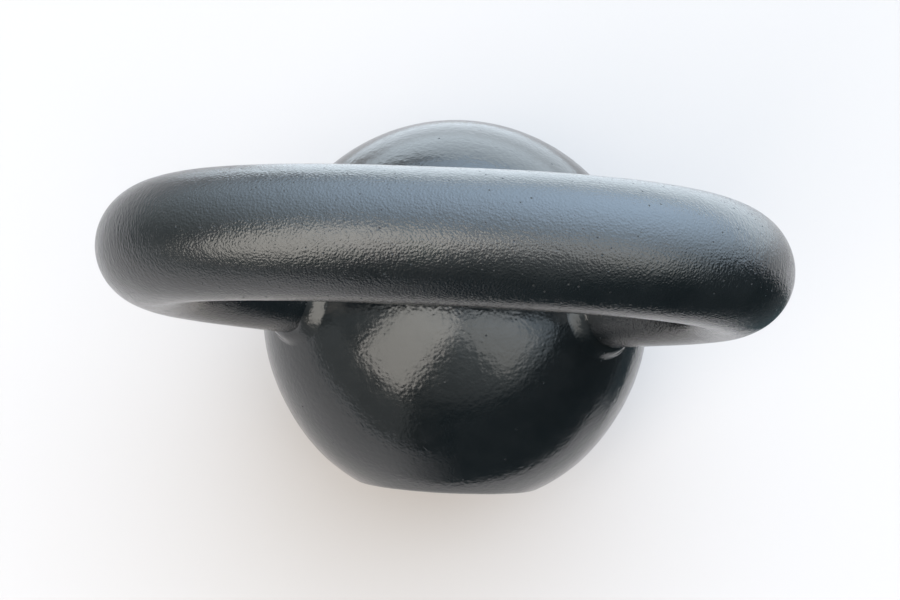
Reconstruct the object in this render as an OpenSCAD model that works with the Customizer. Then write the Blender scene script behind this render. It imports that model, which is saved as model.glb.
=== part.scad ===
// Kettlebell: a cast iron ball with a thick bent handle bar set into two sockets in its top.
// The bell stands on the flat under the ball. +X runs along the grip, -Y is the front,
// +Z is up, and the origin is the middle of the base flat.

/* [Ball] */
// Diameter of the ball
ball_d = 140; // [130:1:150]
// Height of the ball's centre above the base flat
ball_h = 57.5; // [52:0.5:62]
// Distance from the ball's centre to the flat face on its front
front_flat_offset = 63.4; // [60:0.1:66]
// Lean of the front flat, its lower edge further back, in degrees
front_flat_lean = 4; // [0:0.1:10]

/* [Handle] */
// Diameter of the grip bar
bar_d = 34.4; // [30:0.1:38]
// Diameter of each leg where it meets the ball
leg_d = 31.4; // [28:0.1:33]
// Distance from the middle to the bar's centreline at the handle's widest point
half_span = 80.6; // [76:0.1:86]
// Height of the handle's widest point above the ball's centre
shoulder_rise = 88; // [84:0.1:92]
// Height of the grip's centreline above the widest point
crown_rise = 49.3; // [45:0.1:58]
// Squareness of the arch: 2 is an ellipse, more is a flatter grip with tighter corners
arch_power = 2.64; // [2.2:0.01:3]
// Height of the curved part of each leg, below the widest point
leg_drop = 41.2; // [38:0.1:42]
// How far each leg has come inwards at the end of its curve
leg_inset = 28; // [24:0.1:29]
// Height above the widest point at which the bar starts to thin towards its leg
taper_rise = 41; // [20:1:45]
// Depth of each leg inside its socket, along the leg
socket_depth = 14; // [10:1:18]

/* [Welds] */
// Radius of the weld bead round each leg
weld_r = 4; // [3:0.1:5]

/* [Trim cavity] */
// Diameter of the cavity under the ball that holds the trim weight
cavity_d = 30; // [24:1:34]
// Height of the cavity's roof above the base flat
cavity_h = 50; // [40:1:56]
// Diameter of the plug that closes the cavity
plug_d = 38; // [36:1:44]
// Thickness of the plug
plug_t = 8; // [6:0.5:10]
// Diameter and depth of the two key holes in the plug
key_hole = 5; // [4:0.5:6]
// Height of the trim weight
trim_h = 32; // [20:1:36]

/* [Hidden] */

paint = [0.07, 0.08, 0.09];
bare_metal = [0.45, 0.46, 0.48];

ball_r = ball_d / 2;
bar_r = bar_d / 2;
leg_r = leg_d / 2;
trim_gap = 0.5;       // clearance round the trim weight
bead_offset = 0.4;    // how far the middle of the bead stands out from the leg's skin
curve_fn = 200;       // smoothness of the round solids

// The handle's centreline lies in the plane y = 0, as points [x, z].
bar_sides = 24;
arch_steps = 22;
leg_steps = 7;
straight_steps = 4;
shoulder_z = ball_h + shoulder_rise;
leg_end = [half_span - leg_inset, shoulder_z - leg_drop];
leg_angle = atan(2 * leg_inset / leg_drop);            // lean of the leg at its lower end
leg_dir = [-sin(leg_angle), -cos(leg_angle)];          // down the leg, into the ball

// Distance down the straight leg from leg_end to the ball's surface
to_centre = [0, ball_h] - leg_end;
along = to_centre * leg_dir;
across = cross(to_centre, leg_dir);
ball_entry = along - sqrt(ball_r * ball_r - across * across);
straight_l = ball_entry + socket_depth;

// The bead follows the circle where the leg's skin leaves the ball. That circle is tilted to
// the leg, because the leg doesn't point at the ball's centre.
inner_side = sqrt(ball_r * ball_r - pow(across - leg_r, 2));
outer_side = sqrt(ball_r * ball_r - pow(across + leg_r, 2));
bead_tilt = atan((inner_side - outer_side) / leg_d);
bead_distance = along - (inner_side + outer_side) / 2;
bead_centre = leg_end + leg_dir * bead_distance;

function arch_point(t) = [
    half_span * pow(cos(t), 2 / arch_power),
    shoulder_z + crown_rise * pow(sin(t), 2 / arch_power)
];
function leg_point(drop) = [
    half_span - leg_inset * pow(drop / leg_drop, 2),
    shoulder_z - drop
];
function smooth(t) = t * t * (3 - 2 * t);
function taper(z) =
    smooth(max(0, min(1, (z - leg_end[1]) / (shoulder_z + taper_rise - leg_end[1]))));
function bar_radius(z) = leg_r + (bar_r - leg_r) * taper(z);

half_path = concat(
    [for (i = [0:arch_steps]) arch_point(90 * (1 - i / arch_steps))],
    [for (i = [1:leg_steps]) leg_point(leg_drop * i / leg_steps)],
    [for (i = [1:straight_steps]) leg_end + leg_dir * (straight_l * i / straight_steps)]
);
last = len(half_path) - 1;
path = concat(
    [for (i = [last:-1:1]) [-half_path[i][0], half_path[i][1]]],
    half_path
);

// A closed tube with round rings across a path in the plane y = 0
module bar_along(path) {
    rings = len(path);
    points = [for (i = [0:rings - 1])
        let (
            step = path[min(i + 1, rings - 1)] - path[max(i - 1, 0)],
            out = [-step[1], step[0]] / norm(step),
            r = bar_radius(path[i][1])
        )
        for (j = [0:bar_sides - 1])
            let (a = 360 * j / bar_sides)
            [path[i][0] + r * cos(a) * out[0], r * sin(a), path[i][1] + r * cos(a) * out[1]]
    ];
    walls = [for (i = [0:rings - 2], j = [0:bar_sides - 1])
        let (k = (j + 1) % bar_sides)
        [i * bar_sides + j, i * bar_sides + k, (i + 1) * bar_sides + k, (i + 1) * bar_sides + j]
    ];
    first_cap = [for (j = [bar_sides - 1:-1:0]) j];
    last_cap = [for (j = [0:bar_sides - 1]) (rings - 1) * bar_sides + j];
    polyhedron(points, concat([first_cap, last_cap], walls));
}

// Stands a solid that is built along +Z on the right-hand leg's line, pointing out of the ball
module on_right_leg(distance) {
    at = leg_end + leg_dir * distance;
    translate([at[0], 0, at[1]]) rotate([0, leg_angle, 0]) children();
}

// The round shape of the right-hand leg's straight part, run on past both its ends
module right_leg_core(below) {
    on_right_leg(below) cylinder(r = leg_r, h = below + weld_r, $fn = curve_fn);
}

module both_sides() {
    children();
    mirror([1, 0, 0]) children();
}

module ball_skin() {
    translate([0, 0, ball_h]) sphere(r = ball_r, $fn = curve_fn);
}

module ball() {
    color(paint) difference() {
        ball_skin();
        translate([-ball_r, -ball_r, -ball_r]) cube([ball_d, ball_d, ball_r]);
        translate([0, 0, ball_h]) rotate([front_flat_lean, 0, 0])
            translate([-ball_r, -front_flat_offset - ball_r, -ball_r])
            cube([ball_d, ball_r, ball_d]);
        both_sides() right_leg_core(straight_l);
        translate([0, 0, -1]) cylinder(d = cavity_d, h = cavity_h + 1, $fn = curve_fn);
        translate([0, 0, -1]) cylinder(d = plug_d, h = plug_t + 1, $fn = curve_fn);
    }
}

module handle() {
    color(paint) bar_along(path);
}

module right_bead() {
    difference() {
        translate([bead_centre[0], 0, bead_centre[1]]) rotate([0, leg_angle + bead_tilt, 0])
            rotate_extrude($fn = curve_fn) translate([leg_r + bead_offset, 0]) circle(r = weld_r, $fn = 96);
        ball_skin();
        right_leg_core(straight_l);
    }
}

module right_weld() {
    color(paint) right_bead();
}

module left_weld() {
    color(paint) mirror([1, 0, 0]) right_bead();
}

module trim_weight() {
    color(bare_metal) translate([0, 0, plug_t])
        cylinder(d = cavity_d - 2 * trim_gap, h = trim_h, $fn = curve_fn);
}

module base_plug() {
    color(bare_metal) difference() {
        cylinder(d = plug_d, h = plug_t, $fn = curve_fn);
        for (side = [-1, 1])
            translate([side * plug_d / 4, 0, -1]) cylinder(d = key_hole, h = key_hole + 1, $fn = 32);
    }
}

ball();
handle();
left_weld();
right_weld();
trim_weight();
base_plug();
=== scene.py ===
import math

import bmesh
import bpy
import numpy as np
from mathutils import Matrix, Vector, noise


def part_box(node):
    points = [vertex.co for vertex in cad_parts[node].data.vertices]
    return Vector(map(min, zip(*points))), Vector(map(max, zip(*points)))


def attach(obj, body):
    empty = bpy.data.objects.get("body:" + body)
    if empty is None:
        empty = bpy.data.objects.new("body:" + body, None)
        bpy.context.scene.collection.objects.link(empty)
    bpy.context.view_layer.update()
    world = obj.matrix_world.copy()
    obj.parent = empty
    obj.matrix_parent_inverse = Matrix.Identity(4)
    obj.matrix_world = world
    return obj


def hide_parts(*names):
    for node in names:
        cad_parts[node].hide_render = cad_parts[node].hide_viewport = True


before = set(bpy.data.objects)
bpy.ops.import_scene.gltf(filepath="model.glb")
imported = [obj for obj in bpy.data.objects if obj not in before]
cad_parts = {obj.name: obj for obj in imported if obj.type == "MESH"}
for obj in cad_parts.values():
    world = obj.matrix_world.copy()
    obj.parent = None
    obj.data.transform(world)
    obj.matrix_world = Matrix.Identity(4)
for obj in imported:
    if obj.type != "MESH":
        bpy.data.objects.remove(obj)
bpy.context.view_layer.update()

BODY = "root"

# ---------------------------------------------------------------------------------------------
# Sizes, in metres. Those of the ball, the bar and the plug come from the frame. The handle's line
# has the same driving dimensions as the CAD model.
# ---------------------------------------------------------------------------------------------
ball_low, ball_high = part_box("ball")
handle_low, handle_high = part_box("handle")
plug_low, plug_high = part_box("base_plug")

BALL_R = (ball_high.x - ball_low.x) / 2
BALL_CENTRE = Vector((0, 0, ball_high.z - BALL_R))
FRONT_FLAT_OFFSET = 0.0634              # from the ball's centre to the flat on its front
FRONT_FLAT_LEAN = math.radians(4.0)     # its lower edge is further back
FLAT_EDGE_BLEND = 0.0009                # a flat and the sphere blend where they are closer than this
FRONT_SWELL = 0.0009                    # how much fuller the ball is round its front flat
SWELL_STARTS, SWELL_IS_FULL = 0.5, 0.85     # as the cosine of the angle to the front flat's normal

BAR_R = (handle_high.y - handle_low.y) / 2
LEG_R = 0.0157
HALF_SPAN = 0.0806
SHOULDER_Z = BALL_CENTRE.z + 0.0880
CROWN_RISE = handle_high.z - BAR_R - SHOULDER_Z
ARCH_POWER = 2.64
LEG_DROP = 0.0412
LEG_INSET = 0.0280
TAPER_RISE = 0.041

SOCKET_DEPTH = 0.014
SOCKET_GAP = 0.00005            # between a leg and its socket's wall
CAVITY_R = 0.015
CAVITY_TOP = 0.050
CAVITY_OVERRUN = 0.010          # how far the cavity's cutters run out below the ball
SOCKET_OVERRUN = 0.012          # how far the sockets' cutters run out above its skin
PLUG_R = (plug_high.x - plug_low.x) / 2
PLUG_GAP = 0.0001               # between the plug and its seat, and under the plug
PLUG_CHAMFER = 0.0007
KEY_HOLE_R = 0.0025
KEY_HOLE_DEPTH = 0.005
KEY_HOLE_OVERRUN = 0.001

WELD_REACH = 0.0048             # how far the welds reach out over the ball, on their outer side
WELD_CLIMB = 0.0022             # how far they climb up the leg there
LEFT_SPREAD = 0.0012            # how much further each reaches on the side towards the other leg
RIGHT_SPREAD = 0.0008
HOLLOW_STARTS, HOLLOW_IS_FULL = 0.62, 0.98      # share of the way across the leg to that side
HOLLOW_CLIMB = 1.6              # how much further they climb there, in spreads
TOE_PULL, HOLLOW_TOE_PULL = 0.45, 0.05          # how flat a weld leaves the ball, in reaches
BEAD_CROWN_OUT, BEAD_CROWN_UP = 0.5, 1.05       # the round bead's crown, in reaches and climbs
HOLLOW_CROWN_UP = 0.5           # the hollow fillet's, in climbs
WELD_LUMPS = 0.009              # size of the lumps along a weld
WELD_SEED = 5
REACH_UNEVENNESS, CLIMB_UNEVENNESS = 0.12, 0.15
WELD_TOE_SINK = 0.00025         # how deep a weld's toe lies below the ball's nominal skin
LEG_TOE_SINK = 0.0002           # and its other toe below the leg's
WELD_ROOT_DEPTH = 0.0008        # roughly how far a weld's hidden root lies inside both skins

# The cast skin's relief, from long waves to short ripples: size, depth and random seed of each
RELIEF = ((0.030, 0.00014, 0), (0.009, 0.00006, 11), (0.0035, 0.00003, 23))
BASE_RELIEF_FADE = 0.004        # height over which the relief fades out towards the base flat

BALL_GRID = 120                 # cells along each edge of the ball's six patches
BAR_SIDES = 152
BAR_RINGS = 570
WELD_SECTIONS = 240
WELD_SKIN_POINTS = 22           # across each section of a weld

# ---------------------------------------------------------------------------------------------
# Colours
# ---------------------------------------------------------------------------------------------
THIN_ENAMEL = (0.0030, 0.0038, 0.0042)
THICK_ENAMEL = (0.0052, 0.0060, 0.0064)
# Painted shade: the pits' colour, blacker than the enamel, stands in for the shade inside them.
PIT_SHADE_BLACK = (0.0015, 0.0015, 0.0015)
DULL_STEEL = (0.30, 0.30, 0.31)
BRIGHT_STEEL = (0.42, 0.42, 0.43)
FLOOR_DARK = (0.430, 0.378, 0.348)
FLOOR_LIGHT = (0.442, 0.388, 0.357)
CARD_BLACK = (0.033, 0.044, 0.045)
WARM_LIGHT = (1.0, 0.95, 0.87)
DAYLIGHT = (0.76, 0.90, 1.0)
PALE_LIGHT = (0.95, 1.0, 1.0)


# ---------------------------------------------------------------------------------------------
# Mesh helpers
# ---------------------------------------------------------------------------------------------
def make_object(name, vertices, faces):
    mesh = bpy.data.meshes.new(name)
    mesh.from_pydata([tuple(v) for v in vertices], [], faces)
    mesh.validate()
    obj = bpy.data.objects.new(name, mesh)
    bpy.context.scene.collection.objects.link(obj)
    shade_smooth(obj)
    return obj


def shade_smooth(obj, sharp_angle=math.radians(50), merge_distance=1e-6):
    """Smooth shading, with the edges that turn more than sharp_angle kept crisp."""
    work = bmesh.new()
    work.from_mesh(obj.data)
    bmesh.ops.remove_doubles(work, verts=work.verts, dist=merge_distance)
    bmesh.ops.recalc_face_normals(work, faces=work.faces)
    for face in work.faces:
        face.smooth = True
    for edge in work.edges:
        edge.smooth = edge.calc_face_angle(0) < sharp_angle
    work.to_mesh(obj.data)
    work.free()
    obj.data.update()


def cut(obj, tools):
    """Takes the tools' solids out of obj, and deletes the tools."""
    for tool in tools:
        modifier = obj.modifiers.new("cut", "BOOLEAN")
        modifier.operation = "DIFFERENCE"
        modifier.solver = "EXACT"
        modifier.object = tool
    graph = bpy.context.evaluated_depsgraph_get()
    mesh = bpy.data.meshes.new_from_object(obj.evaluated_get(graph))
    obj.modifiers.clear()
    obj.data = mesh
    for tool in tools:
        bpy.data.objects.remove(tool)
    shade_smooth(obj)


def lathe(name, profile, steps=96, at=(0, 0, 0), axis=(0, 0, 1)):
    """A closed solid turned from a profile of (radius, height) points, whose first and last
    points have a radius of 0."""
    turn = Vector((0, 0, 1)).rotation_difference(Vector(axis)).to_matrix()
    rings = profile[1:-1]
    vertices, faces = [], []
    for radius, height in rings:
        for k in range(steps):
            a = 2 * math.pi * k / steps
            point = Vector((radius * math.cos(a), radius * math.sin(a), height))
            vertices.append(turn @ point + Vector(at))
    first, last = len(vertices), len(vertices) + 1
    vertices.append(turn @ Vector((0, 0, profile[0][1])) + Vector(at))
    vertices.append(turn @ Vector((0, 0, profile[-1][1])) + Vector(at))
    for i in range(len(rings) - 1):
        for k in range(steps):
            n = (k + 1) % steps
            faces.append((i * steps + k, i * steps + n,
                          (i + 1) * steps + n, (i + 1) * steps + k))
    top = (len(rings) - 1) * steps
    for k in range(steps):
        n = (k + 1) % steps
        faces.append((first, n, k))
        faces.append((last, top + k, top + n))
    return make_object(name, vertices, faces)


def round_rod(name, radius, start, end):
    """A plain round cutter from one point to another."""
    length = (Vector(end) - Vector(start)).length
    profile = [(0, 0), (radius, 0), (radius, length), (0, length)]
    return lathe(name, profile, at=start, axis=Vector(end) - Vector(start))


def smooth_min(a, b, blend):
    h = max(blend - abs(a - b), 0) / blend
    return min(a, b) - h * h * blend / 4


def smoothstep(value, low, high):
    t = max(0.0, min(1.0, (value - low) / (high - low)))
    return t * t * (3 - 2 * t)


def bezier(a, b, c, d, t):
    """The point at t, from 0 to 1, along the cubic curve with these four control points."""
    return (1 - t) ** 3 * a + 3 * t * (1 - t) ** 2 * b + 3 * t * t * (1 - t) * c + t ** 3 * d


def waviness(point, size, depth, seed):
    """A smooth dent between about 0 and depth, in lumps of about the given size."""
    value = noise.noise(Vector(point) / size + Vector((seed, 2 * seed, -seed)))
    return depth * (0.5 + 0.5 * value)


def casting_relief(point, seed):
    """How far the cast skin lies below its nominal shape."""
    return sum(waviness(point, size, depth, seed + own_seed) for size, depth, own_seed in RELIEF)


# ---------------------------------------------------------------------------------------------
# The handle's line
# ---------------------------------------------------------------------------------------------
LEG_END = np.array([HALF_SPAN - LEG_INSET, SHOULDER_Z - LEG_DROP])
leg_angle = math.atan(2 * LEG_INSET / LEG_DROP)
LEG_DIR = np.array([-math.sin(leg_angle), -math.cos(leg_angle)])
to_centre = np.array([0, BALL_CENTRE.z]) - LEG_END
along_leg = float(to_centre @ LEG_DIR)
across_leg_squared = to_centre @ to_centre - along_leg ** 2
ball_entry = along_leg - math.sqrt(BALL_R ** 2 - across_leg_squared)
STRAIGHT_LENGTH = ball_entry + SOCKET_DEPTH


def handle_half(arch_points=900, leg_points=200, straight_points=100):
    """Close points [x, z] down the right half of the handle, from the crown to the leg's end."""
    t = np.linspace(math.pi / 2, 0, arch_points)
    arch = np.stack([
        HALF_SPAN * np.abs(np.cos(t)) ** (2 / ARCH_POWER),
        SHOULDER_Z + CROWN_RISE * np.abs(np.sin(t)) ** (2 / ARCH_POWER),
    ], axis=1)
    arch[0] = (0, SHOULDER_Z + CROWN_RISE)
    drop = np.linspace(0, LEG_DROP, leg_points)[1:]
    leg = np.stack([HALF_SPAN - LEG_INSET * (drop / LEG_DROP) ** 2, SHOULDER_Z - drop], axis=1)
    down = np.linspace(0, STRAIGHT_LENGTH, straight_points)[1:, None]
    straight = LEG_END + down * LEG_DIR
    return np.concatenate([arch, leg, straight])


def handle_path(count):
    """The handle's centreline from one leg's end to the other, in equal steps of length."""
    half = handle_half()
    mirrored = half[:0:-1] * np.array([-1, 1])
    line = np.concatenate([mirrored, half])
    steps = np.linalg.norm(np.diff(line, axis=0), axis=1)
    length = np.concatenate([[0], np.cumsum(steps)])
    wanted = np.linspace(0, length[-1], count)
    return np.stack([np.interp(wanted, length, line[:, k]) for k in (0, 1)], axis=1)


def bar_radius(z):
    t = np.clip((z - LEG_END[1]) / (SHOULDER_Z + TAPER_RISE - LEG_END[1]), 0, 1)
    return LEG_R + (BAR_R - LEG_R) * t * t * (3 - 2 * t)


# ---------------------------------------------------------------------------------------------
# Pieces
# ---------------------------------------------------------------------------------------------
def build_handle():
    """A round bar with the cast skin's relief, swept along the handle's line."""
    path = handle_path(BAR_RINGS)
    tangent = np.gradient(path, axis=0)
    tangent /= np.linalg.norm(tangent, axis=1)[:, None]
    radius = bar_radius(path[:, 1])
    vertices, faces = [], []
    for (x, z), (tx, tz), r in zip(path, tangent, radius):
        for k in range(BAR_SIDES):
            a = 2 * math.pi * k / BAR_SIDES
            outward = Vector((-tz * math.cos(a), math.sin(a), tx * math.cos(a)))
            skin = Vector((x, 0, z)) + outward * r
            vertices.append(skin - outward * casting_relief(skin, seed=3))
    for i in range(BAR_RINGS - 1):
        for k in range(BAR_SIDES):
            n = (k + 1) % BAR_SIDES
            faces.append((i * BAR_SIDES + k, i * BAR_SIDES + n,
                          (i + 1) * BAR_SIDES + n, (i + 1) * BAR_SIDES + k))
    for ring, end in ((0, path[0]), (BAR_RINGS - 1, path[-1])):
        centre = len(vertices)
        vertices.append(Vector((end[0], 0, end[1])))
        for k in range(BAR_SIDES):
            n = (k + 1) % BAR_SIDES
            faces.append((ring * BAR_SIDES + k, ring * BAR_SIDES + n, centre))
    return make_object("handle_bar", vertices, faces)


def ball_radius(direction, flat_reach=0.3):
    """Distance from the ball's centre to its skin: a sphere with two flats, edges rounded. A flat
    matters only to directions whose cosine to its normal is above flat_reach."""
    front = Vector((0, -math.cos(FRONT_FLAT_LEAN), -math.sin(FRONT_FLAT_LEAN)))
    swell = FRONT_SWELL * smoothstep(direction.dot(front), SWELL_STARTS, SWELL_IS_FULL)
    radius = BALL_R + swell
    for normal, offset in ((Vector((0, 0, -1)), BALL_CENTRE.z), (front, FRONT_FLAT_OFFSET)):
        facing = direction.dot(normal)
        if facing > flat_reach:
            radius = smooth_min(radius, offset / facing, FLAT_EDGE_BLEND)
    return radius


def build_ball():
    """Six square patches pushed out to the ball's skin, with its sockets and cavity cut out."""
    n = BALL_GRID
    grid = np.tan(np.linspace(-math.pi / 4, math.pi / 4, n + 1))
    vertices, faces = [], []
    for axis in range(3):
        for sign in (-1, 1):
            start = len(vertices)
            for u in grid:
                for v in grid:
                    direction = [0, 0, 0]
                    direction[axis] = sign
                    direction[(axis + 1) % 3] = u
                    direction[(axis + 2) % 3] = v
                    direction = Vector(direction).normalized()
                    skin = direction * ball_radius(direction)
                    above_base = (skin.z + BALL_CENTRE.z) / BASE_RELIEF_FADE
                    dent = casting_relief(skin, seed=7) * max(0, min(1, above_base))
                    vertices.append(BALL_CENTRE + skin - direction * dent)
            for i in range(n):
                for k in range(n):
                    a = start + i * (n + 1) + k
                    faces.append((a, a + 1, a + n + 2, a + n + 1))
    ball = make_object("ball_body", vertices, faces)

    outside = LEG_END + LEG_DIR * (STRAIGHT_LENGTH - SOCKET_DEPTH - SOCKET_OVERRUN)
    floor = LEG_END + LEG_DIR * STRAIGHT_LENGTH
    tools = [round_rod("socket", LEG_R + SOCKET_GAP, (side * floor[0], 0, floor[1]),
                       (side * outside[0], 0, outside[1]))
             for side in (-1, 1)]
    below = (0, 0, -CAVITY_OVERRUN)
    tools.append(round_rod("cavity", CAVITY_R, below, (0, 0, CAVITY_TOP)))
    tools.append(round_rod("seat", PLUG_R, below, (0, 0, plug_high.z)))
    cut(ball, tools)
    return ball


def along_surface(direction, normal):
    """What is left of a direction once the part along the surface's normal is taken out."""
    return direction - normal * (direction @ normal)


def weld_section(side, spread, angle):
    """One section of a weld, as points from the ball's centre: its skin, from the toe on the ball
    to the toe on the leg, and then its hidden root."""
    down = np.array([side * LEG_DIR[0], 0, LEG_DIR[1]])
    up_leg = -down
    leg_end = np.array([side * LEG_END[0], 0, LEG_END[1]])
    to_back = np.array([0, 1, 0])
    across = np.cross(down, to_back)

    # The corner is where the leg's skin enters the ball's.
    leg_normal = across * math.cos(angle) + to_back * math.sin(angle)
    leg_skin = leg_end + leg_normal * LEG_R - np.array(BALL_CENTRE)
    along = float(leg_skin @ down)
    depth = -along - math.sqrt(along * along - (leg_skin @ leg_skin - BALL_R ** 2))
    corner = leg_skin + down * depth
    ball_normal = corner / BALL_R
    over_ball = along_surface(leg_normal, ball_normal)
    over_ball /= np.linalg.norm(over_ball)

    # inner runs from 0 on the outer side to 1 towards the other leg, where the weld is hollow.
    inner = 0.5 - 0.5 * side * leg_normal[0] / abs(across[0])
    hollow = smoothstep(inner, HOLLOW_STARTS, HOLLOW_IS_FULL)
    lumps = noise.noise(Vector(corner) / WELD_LUMPS + Vector((side * WELD_SEED, 0, 0)))
    reach = (WELD_REACH + spread * inner ** 2) * (1 + REACH_UNEVENNESS * lumps)
    climb = (WELD_CLIMB + HOLLOW_CLIMB * spread * hollow) * (1 + CLIMB_UNEVENNESS * lumps)

    toe_on_ball = corner + over_ball * reach
    toe_on_ball *= (BALL_R - WELD_TOE_SINK) / np.linalg.norm(toe_on_ball)
    toe_normal = toe_on_ball / np.linalg.norm(toe_on_ball)
    toe_pull = TOE_PULL + HOLLOW_TOE_PULL * hollow
    from_ball = toe_on_ball - along_surface(over_ball, toe_normal) * reach * toe_pull
    toe_on_leg = corner + up_leg * climb - leg_normal * LEG_TOE_SINK
    bead_crown = corner + up_leg * climb * BEAD_CROWN_UP + over_ball * reach * BEAD_CROWN_OUT
    hollow_crown = corner + up_leg * climb * HOLLOW_CROWN_UP
    crown = (1 - hollow) * bead_crown + hollow * hollow_crown
    skin = [bezier(toe_on_ball, from_ball, crown, toe_on_leg, k / (WELD_SKIN_POINTS - 1))
            for k in range(WELD_SKIN_POINTS)]
    root = corner - (leg_normal + ball_normal) * WELD_ROOT_DEPTH
    return skin + [root]


def build_weld(side, name, spread):
    """The painted weld round one leg's root. On the outer side it is a round bead that meets the
    leg in a crease. Towards the other leg it turns into a hollow fillet that reaches further."""
    centre = np.array(BALL_CENTRE)
    vertices, faces = [], []
    for i in range(WELD_SECTIONS):
        section = weld_section(side, spread, 2 * math.pi * i / WELD_SECTIONS)
        vertices += [Vector(centre + point) for point in section]
    points = WELD_SKIN_POINTS + 1
    for i in range(WELD_SECTIONS):
        for k in range(points):
            j, n = (i + 1) % WELD_SECTIONS, (k + 1) % points
            faces.append((i * points + k, i * points + n, j * points + n, j * points + k))
    return make_object(name, vertices, faces)


def build_plug(turning_marks=24, mark_depth=0.00004):
    """The plug under the ball, faced on a lathe, with two key holes."""
    r = PLUG_R - PLUG_GAP
    low, high = plug_low.z + PLUG_GAP, plug_high.z
    face_r = r - PLUG_CHAMFER
    profile = [(0, low)]
    for k in range(1, turning_marks):
        profile.append((k / turning_marks * face_r, low + mark_depth * (k % 2)))
    profile += [(face_r, low), (r, low + PLUG_CHAMFER), (r, high), (0, high)]
    plug = lathe("plug_disc", profile)
    holes = [round_rod("key_hole", KEY_HOLE_R, (side * PLUG_R / 2, 0, -KEY_HOLE_OVERRUN),
                       (side * PLUG_R / 2, 0, KEY_HOLE_DEPTH))
             for side in (-1, 1)]
    cut(plug, holes)
    return plug


# ---------------------------------------------------------------------------------------------
# Materials
# ---------------------------------------------------------------------------------------------
PIT_RIM, PIT_FLOOR = 0.13, 0.08         # distances from a pit's middle, in spacings
PIT_PATCHES = 0.007                     # size of the patches that have pits
PIT_PATCH_EDGE = 0.06                   # how gently a patch begins
PIT_DEPTH = 0.00008
PIT_ROUGHNESS = 0.6                     # added to the enamel's inside a pit
STROKE_WIDTH = 0.0008
STROKE_STRETCH = 0.16                   # a stroke's width over its length
STROKE_DEPTH = 0.00016
STROKES_START, STROKES_ARE_FULL = 0.056, 0.080      # distances from the handle's middle, along X


class Nodes:
    """A material's node tree, with short names for what the materials below are made of."""

    def __init__(self, name):
        self.material = bpy.data.materials.new(name)
        self.material.use_nodes = True
        self.tree = self.material.node_tree
        self.shader = self.tree.nodes["Principled BSDF"]
        self.place = self.tree.nodes.new("ShaderNodeTexCoord").outputs["Object"]

    def link(self, output, socket):
        self.tree.links.new(output, socket)

    def stretched(self, scale):
        node = self.tree.nodes.new("ShaderNodeMapping")
        node.inputs["Scale"].default_value = scale
        self.link(self.place, node.inputs["Vector"])
        return node.outputs["Vector"]

    def noise(self, size, detail=2.0, roughness=0.5, stretch=None):
        """Noise with lumps of about the given size in metres, from 0 to 1."""
        node = self.tree.nodes.new("ShaderNodeTexNoise")
        node.inputs["Scale"].default_value = 1 / size
        node.inputs["Detail"].default_value = detail
        node.inputs["Roughness"].default_value = roughness
        self.link(self.stretched(stretch) if stretch else self.place, node.inputs["Vector"])
        return node.outputs["Fac"]

    def cells(self, size):
        """Distance from the nearest of many scattered points, in cells of the given size."""
        node = self.tree.nodes.new("ShaderNodeTexVoronoi")
        node.inputs["Scale"].default_value = 1 / size
        self.link(self.place, node.inputs["Vector"])
        return node.outputs["Distance"]

    def ramp(self, value, low, high, to_low=0.0, to_high=1.0):
        """A smooth change from to_low to to_high as the value goes from low to high."""
        node = self.tree.nodes.new("ShaderNodeMapRange")
        node.interpolation_type = "SMOOTHSTEP"
        for socket, number in zip(("From Min", "From Max", "To Min", "To Max"),
                                  (low, high, to_low, to_high)):
            node.inputs[socket].default_value = number
        self.link(value, node.inputs["Value"])
        return node.outputs["Result"]

    def math(self, operation, a, b):
        node = self.tree.nodes.new("ShaderNodeMath")
        node.operation = operation
        for socket, value in zip(node.inputs, (a, b)):
            if isinstance(value, (int, float)):
                socket.default_value = value
            else:
                self.link(value, socket)
        return node.outputs["Value"]

    def blend(self, factor, a, b):
        """A colour between a and b. Each is a colour or another node's output."""
        node = self.tree.nodes.new("ShaderNodeMix")
        node.data_type = "RGBA"
        colours = [s for s in node.inputs if s.type == "RGBA"]
        for socket, value in zip(colours, (a, b)):
            if isinstance(value, tuple):
                socket.default_value = (*value, 1)
            else:
                self.link(value, socket)
        self.link(factor, node.inputs["Factor"])
        return next(s for s in node.outputs if s.type == "RGBA")

    def bump(self, height, depth, before=None):
        """Relief of the given depth in metres, added to the relief before it."""
        node = self.tree.nodes.new("ShaderNodeBump")
        node.inputs["Distance"].default_value = depth
        node.inputs["Strength"].default_value = 1.0
        self.link(height, node.inputs["Height"])
        if before is not None:
            self.link(before, node.inputs["Normal"])
        return node.outputs["Normal"]

    def axis(self, name):
        node = self.tree.nodes.new("ShaderNodeSeparateXYZ")
        self.link(self.place, node.inputs["Vector"])
        return node.outputs[name]


def pits(n, spacing, rarity):
    """1 in small round pits, 0 elsewhere. They keep to patches, which are smaller and fewer when
    rarity is higher."""
    spots = n.ramp(n.cells(spacing), low=PIT_RIM, high=PIT_FLOOR)
    patches = n.ramp(n.noise(PIT_PATCHES, detail=1), low=rarity, high=rarity + PIT_PATCH_EDGE)
    return n.math("MULTIPLY", spots, patches)


def brush_strokes(n):
    """Fine strokes along Y, which is round the bar at the handle's two bends, and only there."""
    strokes = n.noise(STROKE_WIDTH, detail=2, stretch=(1.0, STROKE_STRETCH, 1.0))
    from_middle = n.math("ABSOLUTE", n.axis("X"), 0.0)
    at_bend = n.ramp(from_middle, low=STROKES_START, high=STROKES_ARE_FULL)
    return n.math("MULTIPLY", strokes, at_bend)


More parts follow.
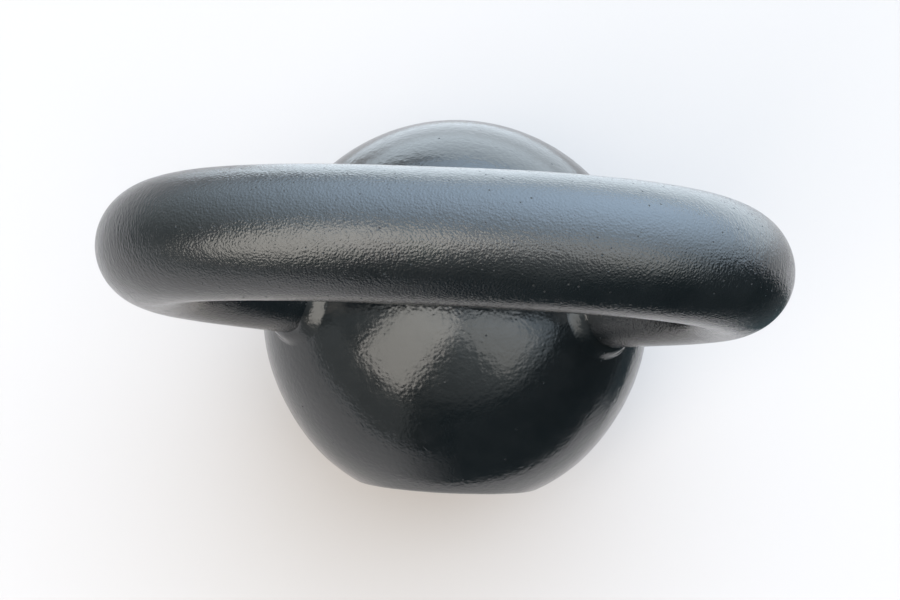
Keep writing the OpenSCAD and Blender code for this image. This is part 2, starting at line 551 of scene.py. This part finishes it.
def enamel(name, grain_size, grain_depth, peel_size, peel_depth, pit_spacing, pit_rarity, ior,
           bends=False):
    """Gloss black enamel over cast iron: the iron's grain shows through, with a few pits."""
    n = Nodes(name)
    thickness = n.ramp(n.noise(0.018, detail=3), low=0.35, high=0.65)
    in_pit = pits(n, pit_spacing, pit_rarity)
    colour = n.blend(thickness, THIN_ENAMEL, THICK_ENAMEL)
    # In the pits the colour darkens as painted shade; their dent and roughness are real.
    n.link(n.blend(in_pit, colour, PIT_SHADE_BLACK), n.shader.inputs["Base Color"])

    clouds = n.noise(0.0045, detail=4, roughness=0.6)
    rough = n.ramp(clouds, low=0.3, high=0.7, to_low=0.13, to_high=0.21)
    rough = n.math("ADD", rough, n.math("MULTIPLY", in_pit, PIT_ROUGHNESS))
    n.link(rough, n.shader.inputs["Roughness"])

    orange_peel = n.noise(peel_size, detail=1)
    grain = n.noise(grain_size, detail=2, roughness=0.6)
    grains = n.ramp(n.cells(grain_size * 1.4), low=0.05, high=0.8, to_low=1.0, to_high=0.0)
    relief = n.bump(orange_peel, peel_depth)
    relief = n.bump(grain, grain_depth, relief)
    relief = n.bump(grains, 0.5 * grain_depth, relief)
    if bends:
        relief = n.bump(brush_strokes(n), STROKE_DEPTH, relief)
    relief = n.bump(n.math("SUBTRACT", 1.0, in_pit), PIT_DEPTH, relief)
    n.link(relief, n.shader.inputs["Normal"])
    n.shader.inputs["IOR"].default_value = ior
    return n.material


def turned_steel(name):
    """Bare machined steel with faint stains."""
    n = Nodes(name)
    stains = n.noise(0.006, detail=4)
    colour = n.blend(n.ramp(stains, low=0.3, high=0.7), DULL_STEEL, BRIGHT_STEEL)
    n.link(colour, n.shader.inputs["Base Color"])
    rough = n.ramp(stains, low=0.3, high=0.7, to_low=0.28, to_high=0.45)
    n.link(rough, n.shader.inputs["Roughness"])
    n.link(n.bump(n.noise(0.0006, detail=2), 0.00003), n.shader.inputs["Normal"])
    n.shader.inputs["Metallic"].default_value = 1.0
    return n.material


def dress(obj, material, slot, *nodes):
    """Gives a piece its material and its body, and hides the CAD nodes that it stands for."""
    obj.data.materials.clear()
    obj.data.materials.append(material)
    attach(obj, BODY)
    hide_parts(*nodes)


ball_enamel = enamel("ball_enamel", grain_size=0.0009, grain_depth=0.000020,
                     peel_size=0.0018, peel_depth=0.00008,
                     pit_spacing=0.0030, pit_rarity=0.62, ior=1.52)
handle_enamel = enamel("handle_enamel", grain_size=0.00048, grain_depth=0.000075,
                       peel_size=0.0020, peel_depth=0.00006,
                       pit_spacing=0.0023, pit_rarity=0.45, ior=1.62, bends=True)
weld_enamel = enamel("weld_enamel", grain_size=0.0008, grain_depth=0.00004,
                     peel_size=0.0024, peel_depth=0.00008,
                     pit_spacing=0.0030, pit_rarity=0.62, ior=1.52)
steel = turned_steel("turned_steel")

dress(build_ball(), ball_enamel, "ball_enamel", "ball")
dress(build_handle(), handle_enamel, "handle_enamel", "handle")
dress(build_weld(-1, "left_weld_bead", LEFT_SPREAD), weld_enamel, "weld_enamel", "left_weld")
dress(build_weld(1, "right_weld_bead", RIGHT_SPREAD), weld_enamel, "weld_enamel", "right_weld")
dress(build_plug(), steel, "bare_steel", "base_plug")
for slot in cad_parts["trim_weight"].material_slots:
    slot.material = steel


# ---------------------------------------------------------------------------------------------
# Stage, lights and camera
# ---------------------------------------------------------------------------------------------
def build_floor(size=12.0, gap=0.0003):
    """A plain pale floor, a hair below the base flat so that the two faces don't coincide."""
    h = size / 2
    corners = [(-h, -h, -gap), (h, -h, -gap), (h, h, -gap), (-h, h, -gap)]
    floor = make_object("floor", corners, [(0, 1, 2, 3)])
    n = Nodes("pale_floor")
    colour = n.blend(n.noise(0.4, detail=2), FLOOR_DARK, FLOOR_LIGHT)
    n.link(colour, n.shader.inputs["Base Color"])
    n.shader.inputs["Roughness"].default_value = 0.9
    n.shader.inputs["Specular IOR Level"].default_value = 0.1
    floor.data.materials.append(n.material)


def softbox(name, centre, size, colour, radiance, aim=(0, 0, 0.12)):
    """A rectangular area light that faces the aim point."""
    light = bpy.data.lights.new(name, "AREA")
    light.shape = "RECTANGLE"
    light.size, light.size_y = size
    light.color = colour
    light.energy = radiance * math.pi * size[0] * size[1]
    lamp = bpy.data.objects.new(name, light)
    lamp.location = centre
    lamp.rotation_euler = (Vector(aim) - Vector(centre)).to_track_quat("-Z", "Y").to_euler()
    lamp.visible_camera = False
    bpy.context.scene.collection.objects.link(lamp)


def bright_ground(name, x, y, z, size, radiance):
    """A bluish light that lies just above the floor and faces up."""
    softbox(name, (x, y, z), size, DAYLIGHT, radiance, aim=(x, y, 1.0))


def dark_card(name, foot, top, start, end, height, fade, lift=0.002, thin_from=0.72):
    """A dark card bent round the object, which only reflections meet. foot and top are its radius
    at its lower and upper edge, and start and end are its ends, in degrees from +X. It comes in
    over its first degrees, as many as fade, and thins out above thin_from of its height."""
    columns, rows = 60, 24
    vertices, faces = [], []
    for k in range(columns + 1):
        angle = math.radians(start + (end - start) * k / columns)
        for j in range(rows + 1):
            radius = foot + (top - foot) * j / rows
            vertices.append((radius * math.cos(angle), radius * math.sin(angle),
                             lift + height * j / rows))
    for k in range(columns):
        for j in range(rows):
            a = k * (rows + 1) + j
            faces.append((a, a + rows + 1, a + rows + 2, a + 1))
    card = make_object(name, vertices, faces)
    cover = card.data.attributes.new("cover", "FLOAT", "POINT")
    for vertex, value in zip(card.data.vertices, cover.data):
        angle = math.degrees(math.atan2(vertex.co.y, vertex.co.x))
        share_up = (vertex.co.z - lift) / height
        value.value = (smoothstep(angle, start, start + fade)
                       * (1 - smoothstep(share_up, thin_from, 1.0)))
    n = Nodes(name)
    n.shader.inputs["Base Color"].default_value = (*CARD_BLACK, 1)
    n.shader.inputs["Roughness"].default_value = 1.0
    n.shader.inputs["Specular IOR Level"].default_value = 0.0
    covering = n.tree.nodes.new("ShaderNodeAttribute")
    covering.attribute_name = "cover"
    n.link(covering.outputs["Fac"], n.shader.inputs["Alpha"])
    card.data.materials.append(n.material)
    card.visible_camera = card.visible_shadow = card.visible_diffuse = False


def build_world(seen, brightest, near_colour, far_colour, level, steepness):
    """A pale backdrop to the camera. The object is lit by a soft sky instead, whose light grows
    towards the brightest direction and turns from far_colour to near_colour on the way."""
    world = bpy.data.worlds.new("room")
    world.use_nodes = True
    bpy.context.scene.world = world
    nodes, link = world.node_tree.nodes, world.node_tree.links.new
    nodes.clear()

    place = nodes.new("ShaderNodeTexCoord")
    towards = nodes.new("ShaderNodeVectorMath")
    towards.operation = "DOT_PRODUCT"
    towards.inputs[1].default_value = Vector(brightest).normalized()
    link(place.outputs["Generated"], towards.inputs[0])

    tint = nodes.new("ShaderNodeMix")
    tint.data_type = "RGBA"
    colours = [s for s in tint.inputs if s.type == "RGBA"]
    colours[0].default_value = (*far_colour, 1)
    colours[1].default_value = (*near_colour, 1)
    link(towards.outputs["Value"], tint.inputs["Factor"])

    # The sky's strength is level * exp(steepness * towards).
    grow = nodes.new("ShaderNodeMath")
    grow.operation = "MULTIPLY_ADD"
    grow.inputs[1].default_value = steepness
    grow.inputs[2].default_value = math.log(level)
    link(towards.outputs["Value"], grow.inputs[0])
    power = nodes.new("ShaderNodeMath")
    power.operation = "EXPONENT"
    link(grow.outputs["Value"], power.inputs[0])

    sky = nodes.new("ShaderNodeBackground")
    link(next(s for s in tint.outputs if s.type == "RGBA"), sky.inputs["Color"])
    link(power.outputs["Value"], sky.inputs["Strength"])
    backdrop = nodes.new("ShaderNodeBackground")
    backdrop.inputs["Color"].default_value = (*seen, 1)
    path = nodes.new("ShaderNodeLightPath")
    mix = nodes.new("ShaderNodeMixShader")
    link(path.outputs["Is Camera Ray"], mix.inputs["Fac"])
    link(sky.outputs["Background"], mix.inputs[1])
    link(backdrop.outputs["Background"], mix.inputs[2])
    out = nodes.new("ShaderNodeOutputWorld")
    link(mix.outputs["Shader"], out.inputs["Surface"])


def build_camera(place, aim, roll, lens, shift):
    """Looks from place to aim, both given from the ball's centre in ball radii. At no roll, +Y
    points up in the picture."""
    place = BALL_CENTRE + BALL_R * Vector(place)
    aim = BALL_CENTRE + BALL_R * Vector(aim)
    forward = (aim - place).normalized()
    level = forward.cross(Vector((0, 1, 0))).normalized()
    upward = level.cross(forward)
    right = level * math.cos(roll) + upward * math.sin(roll)
    up = right.cross(forward)
    turn = Matrix((right, up, -forward)).transposed().to_4x4()
    data = bpy.data.cameras.new("camera")
    data.sensor_width = 36
    data.lens = lens
    data.shift_x, data.shift_y = shift
    data.clip_start, data.clip_end = 0.01, 50
    camera = bpy.data.objects.new("camera", data)
    camera.matrix_world = Matrix.Translation(place) @ turn
    bpy.context.scene.collection.objects.link(camera)
    bpy.context.scene.camera = camera


build_floor()
build_world(seen=(0.93, 0.93, 0.94), brightest=(0.38, 0.74, 0.42),
            near_colour=(0.74, 0.96, 1.22), far_colour=(0.90, 1.0, 1.02),
            level=0.83, steepness=1.95)
bright_ground("ground_far", 1.24, 1.80, 0.003, size=(3.0, 3.1), radiance=3.15)
bright_ground("ground_near", 0.22, 0.19, 0.004, size=(0.66, 0.13), radiance=1.55)
softbox("key_left", (-0.66, -0.70, 1.55), (1.05, 1.85), WARM_LIGHT, radiance=4.1)
softbox("key_right", (0.72, -0.52, 1.40), (0.76, 1.1), WARM_LIGHT, radiance=1.65)
softbox("fill_left", (-1.20, -1.05, 0.42), (1.8, 0.8), PALE_LIGHT, radiance=0.36)
dark_card("near_card", foot=0.200, top=0.200, start=-116, end=-3, height=0.23, fade=34)
dark_card("far_card", foot=1.0, top=1.0, start=-104, end=-3, height=0.66, fade=30)
dark_card("end_card", foot=0.132, top=0.205, start=-40, end=1, height=0.004, fade=20)

# Almost straight down on the grip, from a little in front and to the right.
build_camera(place=(0.260, -0.768, 5.738), aim=(-0.067, 0.0985, 0), roll=math.radians(3.0),
             lens=43.98, shift=(0.0075, -0.0082))
bpy.context.scene.view_settings.view_transform = "Standard"
